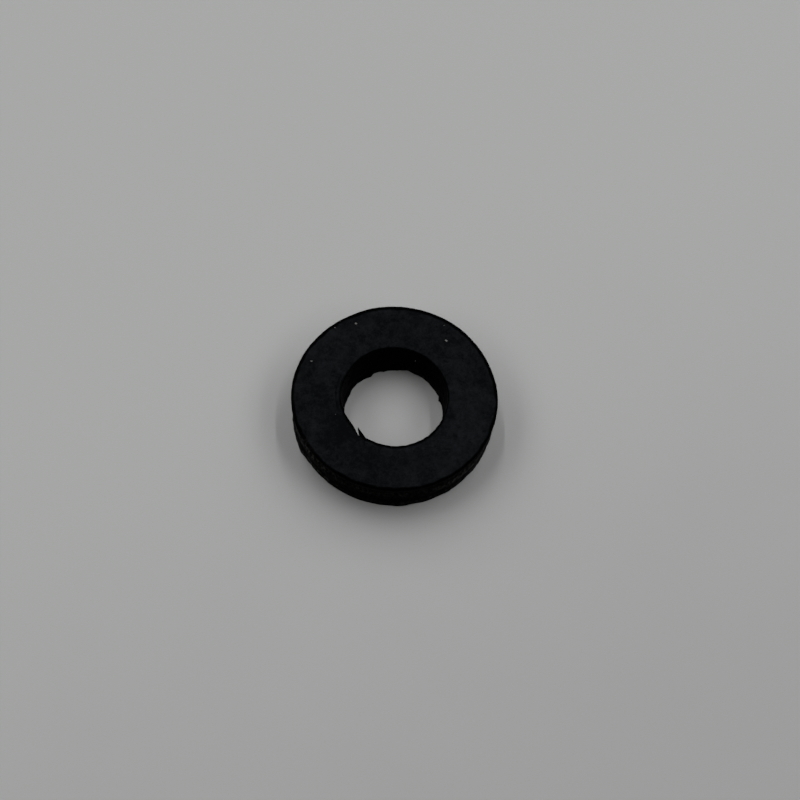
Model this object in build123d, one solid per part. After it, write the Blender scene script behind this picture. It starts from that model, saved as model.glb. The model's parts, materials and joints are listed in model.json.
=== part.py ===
"""Flat gasket, one thick ring punched from black sheet rubber.

The ring lies on its underside. The origin is the centre of the underside, +Z is the axis
of the bore, and all sizes are in millimetres and degrees. Angles run from +X towards +Y.

The sheet bulged under the cutters, so the cut faces are not straight: the outside is
waisted below a narrow rim, bellies out, draws in again and flares to a smaller heel. The
bore is a cone that narrows to a short cylindrical land, whose lower lip tore where the
cutter broke through.
"""

import os
from math import cos, radians, sin

from build123d import *

# Outside of the ring
outside_diameter = 19.0  # across the rim at the upper face
thickness = 4.0  # of the sheet
rim_height = 0.45  # straight band under the upper face
rim_radius = 0.25  # rolled edge of the upper face
waist_diameter = 18.3  # narrowest place, under the rim
waist_drop = 1.15  # from the upper face down to the waist
waist_radius = 1.2  # hollow of the waist
belly_out = 0.12  # fullest place of the wall, past the waist
belly_height = 1.75
groove_in = 0.05  # where the wall draws in above the heel
groove_height = 1.0
wall_radius = 0.6  # eases the belly and the groove
heel_diameter = 18.5  # at the underside
heel_radius = 0.12

# Bore
bore_diameter = 9.4  # cylindrical land at the lower end, where a pin fits
land_length = 1.4
land_radius = 4.0  # runs the land into the cone
mouth_diameter = 9.95  # at the upper face
mouth_radius = 0.2  # rolled edge

# Lower lip, torn out in two places: start, deepest and end angle, and depth past the land
lip_chips = ((56.0, 78.0, 96.0, 0.2), (106.0, 113.0, 119.5, 0.1))
chip_height = 0.8
chip_lean = 14.0  # the torn face leans in to meet the land

# Tear at the mouth, with the loose tag that it left standing
tear_height = 1.5  # down the bore wall
tear_start_angle = 223.0
nick_angle = 233.2
nick_depth = 0.23  # past the mouth's edge
tag_back_angle = 235.4
tag_back_depth = 0.18  # past the mouth's edge
tag_front_angle = 242.5
tag_front_depth = 0.08  # past the mouth's edge
tag_tip_angle = 229.0
tag_reach = 0.29  # from the mouth's edge into the bore
tag_drop = 0.08  # its top lies under the upper face

# Untrimmed corners on the heel, where the outer cut does not close on itself: start,
# corner and end angle, and how far the start and the corner stand out past the heel
heel_steps = ((193.0, 208.5, 212.5, 0.07, 0.13), (272.0, 281.5, 284.0, 0.02, 0.06))
step_lift = 0.12  # off the underside
step_height = 0.8
step_lean = 8.0

# How far a cutter or a root runs past the surface that it works on
overlap = 0.5

outside_r = outside_diameter / 2
waist_r = waist_diameter / 2
heel_r = heel_diameter / 2
bore_r = bore_diameter / 2
mouth_r = mouth_diameter / 2


def polar(radius, angle):
    """A point in plan from its radius and its angle."""
    return (radius * cos(radians(angle)), radius * sin(radians(angle)))


def plan(points, height):
    """A closed straight-sided outline in plan, at a height above the underside."""
    return Pos(0, 0, height) * make_face(Polyline(*points, close=True))


def turned_ring():
    """The whole section, revolved about the bore's axis."""
    corners = [
        ((bore_r, 0), 0),
        ((heel_r, 0), heel_radius),
        ((heel_r - groove_in, groove_height), wall_radius),
        ((waist_r + belly_out, belly_height), wall_radius),
        ((waist_r, thickness - waist_drop), waist_radius),
        ((outside_r, thickness - rim_height), rim_radius),
        ((outside_r, thickness), rim_radius),
        ((mouth_r, thickness), mouth_radius),
        ((bore_r, land_length), land_radius),
    ]
    outline = FilletPolyline(*[c[0] for c in corners], radius=[c[1] for c in corners], close=True)
    return revolve(Plane.XZ * make_face(outline), axis=Axis.Z)


def lip_chip(start, deepest, end, depth):
    """The wedge of rubber that is missing from the lower lip."""
    outline = [
        polar(bore_r - overlap, start),
        polar(bore_r, start),
        polar(bore_r + depth, deepest),
        polar(bore_r, end),
        polar(bore_r - overlap, end),
    ]
    return extrude(plan(outline, 0), amount=chip_height, taper=chip_lean)


def mouth_nick():
    """The gap behind the tag, open to the bore."""
    outline = [
        polar(bore_r - overlap, tag_tip_angle),
        polar(bore_r - overlap, tear_start_angle),
        polar((bore_r + mouth_r) / 2, tear_start_angle),
        polar(mouth_r + nick_depth, nick_angle),
        polar(mouth_r + tag_back_depth, tag_back_angle),
    ]
    return extrude(plan(outline, thickness - tear_height), amount=tear_height + overlap)


def mouth_tag():
    """The pointed sliver that the punch left, rooted in the bore wall."""
    outline = [
        polar(mouth_r - tag_reach, tag_tip_angle),
        polar(mouth_r + tag_back_depth, tag_back_angle),
        polar(mouth_r + overlap, tag_front_angle),
        polar(mouth_r + tag_front_depth, tag_front_angle),
    ]
    return extrude(plan(outline, thickness - tear_height), amount=tear_height - tag_drop)


def heel_step(start, corner, end, start_out, corner_out):
    """A corner of rubber that stands proud of the heel."""
    outline = [
        polar(heel_r - overlap, start),
        polar(heel_r + start_out, start),
        polar(heel_r + corner_out, corner),
        polar(heel_r - overlap, end),
    ]
    return extrude(plan(outline, step_lift), amount=step_height, taper=step_lean)


gasket_ring = turned_ring()
for step in heel_steps:
    gasket_ring += heel_step(*step)
for chip in lip_chips:
    gasket_ring -= lip_chip(*chip)
gasket_ring -= mouth_nick()
gasket_ring += mouth_tag()

os.makedirs("parts", exist_ok=True)
export_step(gasket_ring, "parts/gasket_ring.step")
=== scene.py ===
import json
import math

import bmesh
import bpy
import numpy as np
from mathutils import Matrix, Vector, noise


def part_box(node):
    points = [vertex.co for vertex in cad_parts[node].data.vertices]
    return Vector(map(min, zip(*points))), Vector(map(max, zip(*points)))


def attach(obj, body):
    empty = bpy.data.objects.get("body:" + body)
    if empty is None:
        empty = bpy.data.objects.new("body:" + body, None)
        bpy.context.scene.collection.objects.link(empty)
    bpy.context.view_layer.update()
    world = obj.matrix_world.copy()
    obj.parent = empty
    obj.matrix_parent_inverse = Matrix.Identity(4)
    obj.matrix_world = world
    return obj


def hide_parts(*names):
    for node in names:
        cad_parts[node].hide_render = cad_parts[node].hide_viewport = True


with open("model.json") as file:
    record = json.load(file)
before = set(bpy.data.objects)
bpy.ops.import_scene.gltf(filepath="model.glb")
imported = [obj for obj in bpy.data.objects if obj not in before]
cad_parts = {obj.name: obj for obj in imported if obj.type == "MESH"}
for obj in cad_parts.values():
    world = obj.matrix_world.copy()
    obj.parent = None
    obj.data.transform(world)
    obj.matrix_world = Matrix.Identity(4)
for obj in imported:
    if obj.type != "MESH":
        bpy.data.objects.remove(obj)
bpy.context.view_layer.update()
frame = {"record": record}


# ---- gasket ring ----
# The whole gasket is one flat ring punched from thick black sheet rubber. Its outside has a
# waist under a narrow rolled rim, and its bore narrows from the mouth to a ragged lower lip.
# The skin is one closed net: rows follow the section and columns follow the angle.

MM = 0.001
low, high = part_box("gasket_ring")
bore = next(m for m in frame["record"]["mounts"] if m["name"] == "bore")
sheet = (high[2] - low[2]) / MM
rim_r = (high[0] - low[0]) / 2 / MM
rim_height = 0.45
rim_roll = 0.25
under_rim = 0.25
waist_r = rim_r - 0.35
waist_drop = 1.15
waist_round = 1.2
heel_r = rim_r - 0.25
heel_roll = 0.12
land_r = bore["dims"]["r_mm"]
land_height = 1.4
land_round = 4.0
lip_roll = 0.05
mouth_r = land_r + 0.275
mouth_roll = 0.2

# the columns' steps in degrees, fine where the mouth is torn and coarse elsewhere
torn_from, torn_to = 214.0, 250.0
fine_step, coarse_step = 0.24, 0.54


def rounded(corners):
    """The closed section as points (radius, height). Each corner is a point, the radius that
    rounds it, the steps of its arc, and the steps of the straight run after it with how much
    they crowd towards the run's two ends."""
    cuts = []
    for k, (point, radius, _, _, _) in enumerate(corners):
        here = Vector(point)
        back = Vector(corners[k - 1][0]) - here
        ahead = Vector(corners[(k + 1) % len(corners)][0]) - here
        turn = math.pi - back.angle(ahead)
        reach = radius * math.tan(turn / 2)
        cuts.append((here + back.normalized() * reach, here + ahead.normalized() * reach, turn))
    points = []
    for k, (point, radius, arc_steps, run_steps, crowd) in enumerate(corners):
        start, end, turn = cuts[k]
        outward = (Vector(point) - (start + end) / 2).normalized()
        along = (end - start).normalized()
        centre = (start + end) / 2 - outward * radius * math.cos(turn / 2)
        for i in range(arc_steps + 1):
            a = turn * (i / arc_steps - 0.5)
            points.append(centre + radius * (math.cos(a) * outward + math.sin(a) * along))
        following = cuts[(k + 1) % len(corners)][0]
        for i in range(1, run_steps):
            even = i / run_steps
            crowded = 0.5 - 0.5 * math.cos(math.pi * even)
            points.append(end.lerp(following, even + crowd * (crowded - even)))
    return np.array([tuple(p) for p in points])


def around(corners, soften):
    """An offset for every column from a few (angle, offset) corners, which straight lines
    join, softened over that many degrees."""
    step = 0.1
    turn = np.arange(0.0, 360.0, step)
    line = np.interp(turn, [c[0] for c in corners], [c[1] for c in corners], period=360.0)
    half = round(soften / step)
    window = np.hanning(2 * half + 1)
    line = np.convolve(np.concatenate([line[-half:], line, line[:half]]), window / window.sum(), "valid")
    return np.interp(angles, turn, line, period=360.0)


def ease(value, start, end):
    """0 at start and 1 at end, with an S-curve between them."""
    t = np.clip((value - start) / (end - start), 0.0, 1.0)
    return t * t * (3.0 - 2.0 * t)


def hump(value, middle, spread):
    """1 at the middle, falling away to both sides."""
    return np.exp(-(((value - middle) / spread) ** 2))


def near(point, reach):
    """1 on the rows at a corner of the section, easing to 0 at that distance."""
    return ease(np.hypot(across - point[0], rise - point[1]), reach, 0.0)[:, None]


def relief(sideways, upright, seed):
    """Seamless noise over the net, with this many features per millimetre along the sheet and
    through it."""
    rough = np.empty((rows, columns))
    for i, (r, z) in enumerate(section):
        for j in range(columns):
            spot = (r * cos[j] * sideways, r * sin[j] * sideways, z * upright + seed)
            rough[i, j] = noise.noise(spot)
    return rough


section = rounded([
    ((land_r, 0.0), lip_roll, 2, 10, 0.0),
    ((heel_r, 0.0), heel_roll, 3, 24, 0.0),
    ((waist_r, sheet - waist_drop), waist_round, 5, 3, 0.0),
    ((rim_r, sheet - rim_height), under_rim, 3, 2, 0.0),
    ((rim_r, sheet), rim_roll, 5, 30, 0.7),
    ((mouth_r, sheet), mouth_roll, 6, 16, 0.0),
    ((land_r, land_height), land_round, 3, 9, 0.0),
])
across, rise = section.T
torn = np.arange(torn_from, torn_to, fine_step)
sound = np.arange(torn_to, torn_from + 360.0, coarse_step)
angles = np.concatenate([torn, sound]) % 360.0
rows, columns = len(section), len(angles)
cos, sin = np.cos(np.radians(angles)), np.sin(np.radians(angles))
outside = across > (rim_r + mouth_r) / 2
drop = sheet - rise

# how the punched edges wander from a true circle, by angle
rim_form = around([
    (0, 0.0), (12, -0.01), (20, -0.07), (31, -0.085), (45, -0.06), (57, -0.005), (90, -0.005),
    (109, -0.015), (118, -0.095), (142, -0.1), (154, -0.065), (166, -0.055), (174, -0.005),
    (350, 0.0),
], 6)
heel_form = around([
    (150, 0.005), (180, 0.02), (187, 0.075), (193, 0.06), (200, 0.08), (203, 0.08),
    (206, 0.11), (210, 0.13), (213.5, -0.005), (219, -0.055), (232, -0.035), (245, -0.04),
    (254, 0.005), (261, -0.015), (272, 0.01), (277, 0.065), (281.5, 0.065), (284, -0.035),
    (287, -0.045), (293, 0.015), (301, -0.065), (305, -0.025), (312, -0.045), (323, -0.105),
    (328, -0.035), (334, -0.07), (345, -0.05), (348, 0.01), (356, 0.065), (5, 0.03),
    (20, 0.025), (60, -0.005), (110, 0.025),
], 1.2)
mouth_form = around([
    (0, -0.055), (30, -0.065), (60, 0.015), (90, 0.03), (108, 0.065), (130, 0.035),
    (147, -0.065), (170, -0.075), (182, -0.045), (200, -0.085), (206, -0.16), (222, -0.185),
    (226, -0.125), (243, 0.035), (248, -0.035), (252, -0.02), (256, 0.02), (262, 0.01),
    (272, 0.05), (286, 0.045), (298, 0.015), (310, -0.015), (320, -0.075), (332, -0.105),
    (342, -0.155),
], 4)
lip_form = around([
    (2, -0.18), (6, -0.135), (12, -0.125), (16, -0.07), (20, -0.075), (24, -0.12),
    (25.7, -0.24), (28, -0.13), (31, 0.0), (39, -0.01), (46, 0.035), (51, 0.085),
    (56.5, 0.08), (59, 0.145), (66, 0.13), (71, 0.10), (78, 0.22), (84, 0.14), (89, 0.035),
    (100, 0.0), (105, -0.05), (112, 0.05), (117, -0.025), (121.5, -0.21), (128, -0.12),
    (141, -0.06), (150, -0.10), (156, -0.21), (168, -0.19), (175, -0.16), (179, -0.21),
    (190, -0.10), (215, 0.02), (232, -0.05), (260, 0.03), (281, -0.04), (300, 0.05),
    (330, -0.02), (352, -0.09), (356, -0.11),
], 0.4)

# how far from its own edge each one's wander reaches. The lip's fades in a straight line, which
# keeps its tears sharp.
rim_reach, heel_reach, mouth_reach, lip_reach = 1.4, 1.9, 1.8, 0.85
near_lip = np.clip(1.0 - np.hypot(across - land_r, rise) / lip_reach, 0.0, 1.0)[:, None]
radius = across[:, None] + near((rim_r, sheet), rim_reach) * rim_form
radius = radius + near((heel_r, 0.0), heel_reach) * heel_form
radius = radius + near((mouth_r, sheet), mouth_reach) * mouth_form
radius = radius + near_lip * lip_form

# under the rim the wall bellies out and draws in again above the heel, most at the sides
sides = around([
    (190, 1.0), (235, 1.0), (255, 0.3), (290, 0.3), (305, 1.0), (350, 1.0), (90, 0.8),
], 8)
belly_out, belly_height, belly_spread = 0.06, 2.0, 0.5
groove_in, groove_height, groove_spread = 0.04, 1.05, 0.3
belly = belly_out * hump(rise, belly_height, belly_spread)
belly = belly - groove_in * hump(rise, groove_height, groove_spread)
radius = radius + np.where(outside, belly, 0.0)[:, None] * sides

# a split tears the mouth open, and fades out over the upper face and down the bore's wall
split = around([
    (224, 0.0), (229, 0.085), (232.4, 0.165), (234.4, 0.23), (236.4, 0.22), (238, 0.15), (242.5, 0.0),
], 0.25)
split_over = 1.0 - ease(across - mouth_r, 0.15, 0.75)
split_down = 1.0 - ease(drop, 0.7, 1.6)
radius = radius + np.where(outside, 0.0, split_over * split_down)[:, None] * split

# the surfaces' own unevenness stands on the section's normal: strokes of the cutter and lumps
# on the walls, and a faint undulation on the sheet's own faces. The inset keeps its peaks
# inside the ring's box.
tangent = np.roll(section, -1, axis=0) - np.roll(section, 1, axis=0)
normal = np.stack([tangent[:, 1], -tangent[:, 0]], axis=1)
normal /= np.linalg.norm(normal, axis=1)[:, None]
steep = np.abs(normal[:, :1])
stroke_height, lump_height, swell_height, ripple_height = 0.018, 0.035, 0.012, 0.006
inset = 0.018
strokes = stroke_height * relief(3.2, 0.6, 11.0)
lumps = lump_height * relief(2.3, 2.0, 5.0)
lumps = lumps * (0.35 + 0.65 * sides) * (1.0 - 0.7 * near((rim_r, sheet), 1.2))
undulation = swell_height * relief(0.6, 0.6, 2.0) + ripple_height * relief(2.4, 2.4, 7.0)
proud = steep * (strokes + lumps) + (1.0 - steep) * undulation
radius = radius + normal[:, :1] * (proud - inset)
height = rise[:, None] + normal[:, 1:] * (proud - inset)

# two shallow witness lines run beside the mouth on the left, at these distances from its edge
first_line, second_line = 0.14, 0.45
line_depth = 0.045
from_mouth = radius - (mouth_r + mouth_form)
from_rim = rim_r + rim_form - radius
on_top = (rise > sheet - rim_roll)[:, None]
crease = hump(from_mouth, first_line, 0.05) + hump(from_mouth, second_line, 0.06)
crease = crease * on_top * ease(angles, 152.0, 168.0) * ease(angles, 206.0, 192.0)
height = height - line_depth * crease

# the sheet's grey bloom stops short of the edges: over a wider band at the near side of the
# mouth, and over a narrower one at the near side of the rim, except at its front left. The
# walls have none, and the witness lines hardly any: that dark in their grooves is painted shade.
ragged = np.array([noise.noise((1.1 * rim_r * c, 1.1 * rim_r * s, 31.0)) for c, s in zip(cos, sin)])
unbloomed_in = 0.05 + 0.25 * ease(-sin, 0.05, 0.6) + 0.08 * ragged
unbloomed_out = 0.30 + 0.14 * sin + 0.13 * ragged + 0.09 * hump(angles, 215.0, 14.0)
in_blend, out_blend = 0.09, 0.07
bloom_and_crease_shade = ease(from_mouth, unbloomed_in - in_blend, unbloomed_in + in_blend)
bloom_and_crease_shade = bloom_and_crease_shade * ease(from_rim, unbloomed_out - out_blend, unbloomed_out + out_blend)
# painted shade: the bloom drops where the witness lines' grooves run
bloom_and_crease_shade = bloom_and_crease_shade * np.abs(normal[:, 1:]) ** 2.5 * (1.0 - 0.75 * crease)

# the bloom is patchy: each patch is its radius, its angle, how far it spreads and how much it
# adds
plain_bloom = 0.64
patches = [
    (6.2, 5.0, 1.5, 0.3), (7.3, 6.0, 0.9, -0.35), (8.4, 5.0, 1.2, 0.27), (5.3, 20.0, 0.5, 0.25),
    (6.0, 45.0, 1.2, 0.2), (7.2, 84.0, 1.0, -0.3), (8.4, 105.0, 1.8, 0.25), (6.0, 110.0, 1.6, -0.22),
    (7.0, 138.0, 1.0, -0.2), (8.3, 145.0, 1.8, 0.35), (6.2, 183.0, 0.9, -0.25), (7.2, 188.0, 1.2, -0.35),
    (8.0, 216.0, 1.3, 0.35), (6.2, 222.0, 2.2, -0.6), (7.6, 251.0, 1.0, -0.35), (7.4, 255.0, 1.6, -0.15),
    (7.4, 269.0, 0.8, -0.35), (8.0, 284.0, 1.2, 0.35), (6.0, 310.0, 1.2, -0.33), (6.7, 329.2, 0.2, -1.2),
    (8.0, 332.0, 1.0, 0.2), (6.56, 336.7, 0.18, -1.1), (7.0, 340.0, 2.4, 0.4), (5.3, 341.0, 0.5, -0.35),
    (8.83, 342.0, 0.22, -0.8), (5.57, 342.3, 0.28, -1.1),
]
bloom = np.full((rows, columns), plain_bloom)
for patch_r, patch_angle, spread, change in patches:
    apart = radius**2 + patch_r**2 - 2.0 * radius * patch_r * np.cos(np.radians(angles - patch_angle))
    bloom = bloom + change * np.exp(-apart / spread**2)

x, y = radius * cos, radius * sin

# a thin tag stands off the split's front side. Its columns run straight out to its tip and
# straight back, from just under the upper face to some way down the bore's wall.
tag_back, tag_front = 236.0, 242.7
tip_r, tip_angle = 4.59, math.radians(227.4)
tag_drop, tag_roll, tag_height = 0.08, 0.04, 1.3
share = (angles - tag_back) / (tag_front - tag_back)
out_and_back = 1.0 - np.abs(2.0 * share - 1.0)
root_angle = np.where(share < 0.5, tag_back, tag_front)
root = np.rint((root_angle - torn_from) / fine_step).astype(int)
tag_fade = ease(drop, tag_drop - tag_roll, tag_drop + tag_roll)
tag_fade = tag_fade * (1.0 - ease(drop, 0.5 * tag_height, tag_height))
tag_fade = np.where(across > mouth_r + mouth_roll, 0.0, tag_fade)
stretch = tag_fade[:, None] * (out_and_back > 0.0)
tag_x = x[:, root] + (tip_r * math.cos(tip_angle) - x[:, root]) * out_and_back
tag_y = y[:, root] + (tip_r * math.sin(tip_angle) - y[:, root]) * out_and_back
x = x + (tag_x - x) * stretch
y = y + (tag_y - y) * stretch

# the outside wall is painted pale on its belly and above the heel, most at the sides, and up to
# the rim at the front left: painted highlights where the wall catches the side lamps and the bright
# table
belly_wall_light = around([
    (188, 0.2), (196, 0.7), (208, 1.1), (220, 1.1), (232, 0.65), (242, 0.35), (298, 0.3), (309, 1.1),
    (325, 1.4), (332, 0.35), (350, 0.1), (60, 0.2), (120, 0.2),
], 4)
belly_wall_light_height = around([
    (195, 1.5), (205, 1.9), (214, 2.3), (235, 2.3), (300, 2.0), (320, 1.8), (335, 1.5), (90, 1.8),
], 4)
heel_wall_light = around([
    (195, 0.6), (212, 0.6), (218, 1.2), (235, 0.9), (245, 0.3), (270, 0.2), (290, 0.6), (330, 0.5),
    (10, 0.15), (170, 0.15),
], 4)
rim_wall_light = 0.9 * hump(angles, 216.0, 6.0)
heel_wall_light_height, rim_wall_light_height = 0.55, 3.3
up_wall = rise[:, None]
painted_wall_light = belly_wall_light * hump(up_wall, belly_wall_light_height, 0.6)
painted_wall_light = painted_wall_light + heel_wall_light * hump(up_wall, heel_wall_light_height, 0.25)
painted_wall_light = painted_wall_light + rim_wall_light * hump(up_wall, rim_wall_light_height, 0.5)
painted_wall_light = np.where(outside[:, None], painted_wall_light, 0.0)

corner = np.arange(rows * columns).reshape(rows, columns)
beside = np.roll(corner, -1, axis=1)
quads = np.stack([corner, beside, np.roll(beside, -1, axis=0), np.roll(corner, -1, axis=0)], axis=-1)
places = np.stack([x, y, height], axis=-1).reshape(-1, 3) * MM
skin = bpy.data.meshes.new("gasket_skin")
skin.from_pydata(places.tolist(), [], quads.reshape(-1, 4).tolist())
skin.shade_smooth()
# the last of these carries the outside wall's painted highlights
for name, values in (("bloom_and_crease_shade", bloom_and_crease_shade), ("bloom", bloom), ("painted_wall_light", painted_wall_light)):
    layer = skin.attributes.new(name, "FLOAT", "POINT")
    layer.data.foreach_set("value", values.astype(np.float32).ravel())
ring = bpy.data.objects.new("gasket_skin", skin)
bpy.context.scene.collection.objects.link(ring)
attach(ring, "root")
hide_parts("gasket_ring")


class Term:
    """One node output. Operators on it add Math nodes."""

    def __init__(self, finish, socket):
        self.finish, self.socket = finish, socket

    def maths(self, operation, *values):
        return self.finish.node("ShaderNodeMath", {"operation": operation}, dict(enumerate(values)))

    def __add__(self, other):
        return self.maths("ADD", self, other)

    def __radd__(self, other):
        return self.maths("ADD", other, self)

    def __sub__(self, other):
        return self.maths("SUBTRACT", self, other)

    def __mul__(self, other):
        return self.maths("MULTIPLY", self, other)

    def __rmul__(self, other):
        return self.maths("MULTIPLY", other, self)

    def __truediv__(self, other):
        return self.maths("DIVIDE", self, other)

    def __pow__(self, other):
        return self.maths("POWER", self, other)

    def rise(self, start, end):
        """0 below start and 1 above end, with an S-curve between them."""
        limits = {"Value": self, "From Min": start, "From Max": end}
        return self.finish.node("ShaderNodeMapRange", {"interpolation_type": "SMOOTHSTEP"}, limits)


class Finish:
    """The nodes of one material."""

    def __init__(self, name):
        self.material = bpy.data.materials.new(name)
        self.material.use_nodes = True
        self.tree = self.material.node_tree
        self.tree.nodes.clear()

    def node(self, kind, settings=None, values=None, output=None):
        """Any node: first its settings, then its sockets' values or links by name or number."""
        made = self.tree.nodes.new(kind)
        for name, value in (settings or {}).items():
            setattr(made, name, value)
        for name, value in (values or {}).items():
            if isinstance(name, int):
                socket = made.inputs[name]
            else:
                socket = next(s for s in made.inputs if s.name == name and s.enabled)
            if isinstance(value, Term):
                self.tree.links.new(value.socket, socket)
            else:
                socket.default_value = value
        results = [s for s in made.outputs if s.enabled and output in (None, s.name)]
        return Term(self, results[0]) if results else None

    def millimetres(self):
        """The place on the object in millimetres."""
        sockets = {"Vector": self.node("ShaderNodeTexCoord", output="Object"), "Scale": 1 / MM}
        return self.node("ShaderNodeVectorMath", {"operation": "SCALE"}, sockets)

    def attribute(self, name):
        """A number that the mesh holds at each of its points."""
        return self.node("ShaderNodeAttribute", {"attribute_name": name}, output="Fac")

    def parts(self, vector):
        """A vector's X, Y and Z."""
        separated = self.node("ShaderNodeSeparateXYZ", {}, {"Vector": vector}).socket.node
        return [Term(self, separated.outputs[axis]) for axis in "XYZ"]

    def vector(self, x, y, z):
        return self.node("ShaderNodeCombineXYZ", {}, {"X": x, "Y": y, "Z": z})

    def noise(self, place, scale, detail, roughness=0.5):
        """Noise from 0 to 1 with this many features per millimetre."""
        sockets = {"Vector": place, "Scale": scale, "Detail": detail, "Roughness": roughness}
        return self.node("ShaderNodeTexNoise", {}, sockets)

    def mix(self, share, first, second):
        """From the first colour to the second."""
        sockets = {"Factor": share, "A": (*first, 1.0), "B": (*second, 1.0)}
        return self.node("ShaderNodeMix", {"data_type": "RGBA"}, sockets)

    def bump(self, relief, distance):
        """Relief from 0 to 1 as a bent normal, with the distance in metres."""
        return self.node("ShaderNodeBump", {}, {"Height": relief, "Distance": distance, "Strength": 1.0})

    def shader(self, **sockets):
        """A Principled shader, with its own sockets by name."""
        named = {name.replace("_", " "): value for name, value in sockets.items()}
        return self.node("ShaderNodeBsdfPrincipled", {}, named)

    def blend(self, share, first, second):
        """From the first shader to the second."""
        return self.node("ShaderNodeMixShader", {}, {0: share, 1: first, 2: second})

    def use(self, shader):
        self.node("ShaderNodeOutputMaterial", {}, {"Surface": shader})
        return self.material


# the sheet's own faces keep a faint blue-grey bloom over the black. Clouds, blotches and grain
# mottle it.
rubber = Finish("black_rubber")
place = rubber.millimetres()
east, north, up = rubber.parts(place)
clouds = rubber.noise(place, 0.6, 1.0, 0.9)
blotches = rubber.noise(place, 2.4, 1.0, 0.9)
grain = rubber.noise(place, 9.0, 1.0, 0.9)
mottled = 1.35 * (clouds - 0.5) + 1.45 * (blotches - 0.5) + 1.45 * (grain - 0.5)
bloomed = 0.62 * rubber.attribute("bloom") + mottled
bloomed = rubber.node("ShaderNodeClamp", {}, {"Value": bloomed, "Min": 0.0, "Max": 1.0})
face = rubber.shader(
    Base_Color=rubber.mix(bloomed, (0.0004, 0.0007, 0.0012), (0.0058, 0.0071, 0.0086)),
    Roughness=0.6,
    Specular_IOR_Level=0.028,
    Normal=rubber.bump(grain, 0.00001),
)

# the walls' marks depend only on the way round and the height: upright scores from the cutter,
# and pale flecks of painted highlight where the outside catches the side lamps and the table
from_axis = (east * east + north * north) ** 0.5
wrapped_east = east / from_axis * rim_r
wrapped_north = north / from_axis * rim_r
scores = rubber.noise(rubber.vector(wrapped_east, wrapped_north, up * 0.2), 4.5, 3.0, 0.6)
flecks = rubber.noise(rubber.vector(wrapped_east, wrapped_north, up * 0.6), 3.6, 2.0, 0.7)
worn = rubber.bump(0.7 * scores + 0.3 * grain, 0.00004)
flecked_wall_light = rubber.attribute("painted_wall_light") * flecks.rise(0.44, 0.66)
wall = rubber.shader(
    Base_Color=rubber.mix(flecked_wall_light, (0.0003, 0.0003, 0.0003), (0.0350, 0.0360, 0.0335)),
    Roughness=0.35 + 0.2 * blotches,
    Specular_IOR_Level=0.003,
    Normal=worn,
)
bored = rubber.shader(
    Base_Color=rubber.mix(scores, (0.0, 0.0, 0.0), (0.0003, 0.0003, 0.0004)),
    Roughness=0.4 + 0.2 * scores,
    Specular_IOR_Level=0.004,
    Normal=worn,
)
cut = rubber.blend(from_axis.rise(mouth_r + 0.1, mouth_r + 0.5), bored, wall)
skin.materials.append(rubber.use(rubber.blend(rubber.attribute("bloom_and_crease_shade"), cut, face)))


# ---- dust specks ----
# A few crumbs of pale grit lie on the upper face, flat and irregular, the largest under a
# third of a millimetre long. One more sticks to the bore's wall. Each crumb is its radius, its
# angle, its height, its length, its width and its turn.
lying = sheet - 0.027
grit_thickness = 0.05
crumbs = [
    (8.32, 120.0, lying, 0.24, 0.20, 20.0), (7.57, 55.4, lying, 0.30, 0.19, 150.0),
    (8.40, 160.0, lying, 0.25, 0.15, 0.0), (8.95, 132.6, lying, 0.12, 0.08, 40.0),
    (8.78, 63.0, lying, 0.10, 0.06, 10.0), (5.76, 204.4, lying, 0.07, 0.06, 0.0),
    (4.835, 70.5, 2.66, 0.10, 0.09, 71.0),
]
heap = bmesh.new()
for r, angle, seat_height, length, width, turn in crumbs:
    way = math.radians(angle)
    seat = Vector((r * math.cos(way), r * math.sin(way), seat_height))
    lie = Matrix.Rotation(math.radians(turn), 3, "Z")
    for vertex in bmesh.ops.create_icosphere(heap, subdivisions=3, radius=0.5)["verts"]:
        swell = 1.0 + 0.5 * noise.noise(vertex.co * 3.0 + Vector((r, angle, 0.0)))
        size = Vector((swell * length, swell * width, grit_thickness))
        vertex.co = (lie @ (vertex.co * size) + seat) * MM
grit_mesh = bpy.data.meshes.new("dust_specks")
heap.to_mesh(grit_mesh)
heap.free()
grit_mesh.shade_smooth()
grit = bpy.data.objects.new("dust_specks", grit_mesh)
bpy.context.scene.collection.objects.link(grit)
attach(grit, "root")
dusty = Finish("pale_dust")
mottle = dusty.noise(dusty.millimetres(), 9.0, 2.0)
grit_mesh.materials.append(dusty.use(dusty.shader(
    Base_Color=dusty.mix(mottle, (0.07, 0.07, 0.068), (0.16, 0.16, 0.155)),
    Roughness=0.9,
    Specular_IOR_Level=0.1,
)))


# ---- table ----
# The ring lies on a plain pale table top. Its colour is a little darker towards the front right:
# painted shade where the light falls off towards the front right.
table_width = 2.0
bpy.ops.mesh.primitive_plane_add(size=table_width)
table = bpy.context.object
table.name = "table"
top = Finish("pale_table")
spot = top.millimetres()
along, away, _ = top.parts(spot)
faint = top.noise(spot, 0.05, 4.0, 0.6)
# painted shade: the colour darkens along this line towards the front right
towards = 0.5 * along - 0.87 * away + 20.0 * (faint - 0.5)
table.data.materials.append(top.use(top.shader(
    Base_Color=top.mix(towards.rise(-20.0, 60.0), (0.422, 0.428, 0.421), (0.365, 0.367, 0.364)),
    Roughness=0.9,
    Specular_IOR_Level=0.0,
)))


# ---- light ----
# Two long ceiling tubes run front to back, one each side, with pale ceiling to the left, to
# the right and beyond. Whoever looks down on the ring shades it from the front.
ceiling = 1.5


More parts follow.
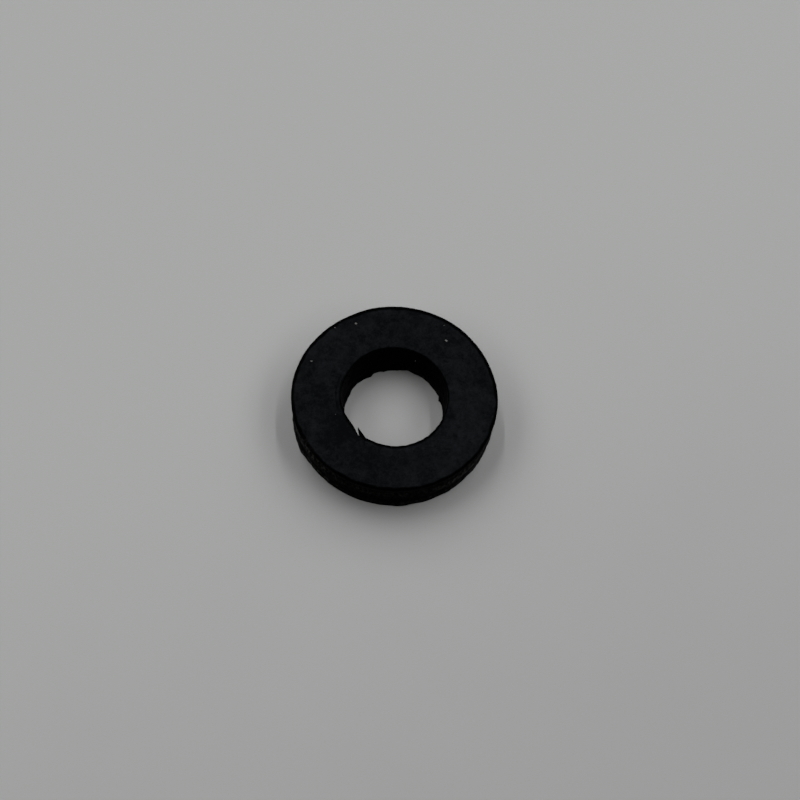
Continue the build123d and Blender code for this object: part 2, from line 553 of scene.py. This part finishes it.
def lamp(name, share, middle, size, turn=0.0):
    """A rectangle of the ceiling that gives the table this share of a full white light. Its
    middle and size are in ceiling heights."""
    light = bpy.data.lights.new(name, "AREA")
    light.shape = "RECTANGLE"
    light.size, light.size_y = (side * ceiling for side in size)
    spread = 1.0 + middle[0] ** 2 + middle[1] ** 2
    light.energy = share * (math.pi * ceiling * spread) ** 2
    hung = bpy.data.objects.new(name, light)
    hung.location = (middle[0] * ceiling, middle[1] * ceiling, ceiling)
    hung.rotation_euler.z = math.radians(turn)
    bpy.context.scene.collection.objects.link(hung)


lamp("left_tube", 0.15, (-0.265, 0.475), (0.03, 0.75), 4.6)
lamp("right_tube", 0.17, (0.33, 0.40), (0.03, 1.0), 6.8)
lamp("left_ceiling", 0.24, (-1.0, 0.05), (0.8, 1.7))
lamp("right_ceiling", 0.23, (1.0, 0.05), (0.8, 1.7))
lamp("far_ceiling", 0.27, (0.0, 1.45), (4.8, 1.1))

room_light = 0.02
room = bpy.data.worlds.new("room")
room.use_nodes = True
walls = room.node_tree.nodes["Background"]
walls.inputs["Color"].default_value = (1.0, 1.0, 1.0, 1.0)
walls.inputs["Strength"].default_value = room_light
bpy.context.scene.world = room


# ---- camera ----
# It looks down on the ring from the front, turned a little about its own line of sight. The
# distance and the width that it sees are in metres, and the ring's offset in millimetres.
elevation = math.radians(62.6)
roll = math.radians(5.0)
distance = 0.3
seen_width = 0.0732
aside, below = 0.487, 0.349
back = Vector((0.0, -math.cos(elevation), math.sin(elevation)))
turned = Matrix.Rotation(roll, 3, back)
upward = turned @ Vector((0.0, math.sin(elevation), math.cos(elevation)))
right = turned @ Vector((1.0, 0.0, 0.0))
aim = Vector((0.0, 0.0, sheet * MM)) + (right * aside - upward * below) * MM
lens = bpy.data.cameras.new("camera")
lens.sensor_width = 36.0
lens.lens = lens.sensor_width * distance / seen_width
lens.clip_start = 0.01
camera = bpy.data.objects.new("camera", lens)
facing = Matrix((right, upward, back)).transposed().to_4x4()
camera.matrix_world = Matrix.Translation(aim + back * distance) @ facing
bpy.context.scene.collection.objects.link(camera)
bpy.context.scene.camera = camera
bpy.context.scene.view_settings.view_transform = "Standard"
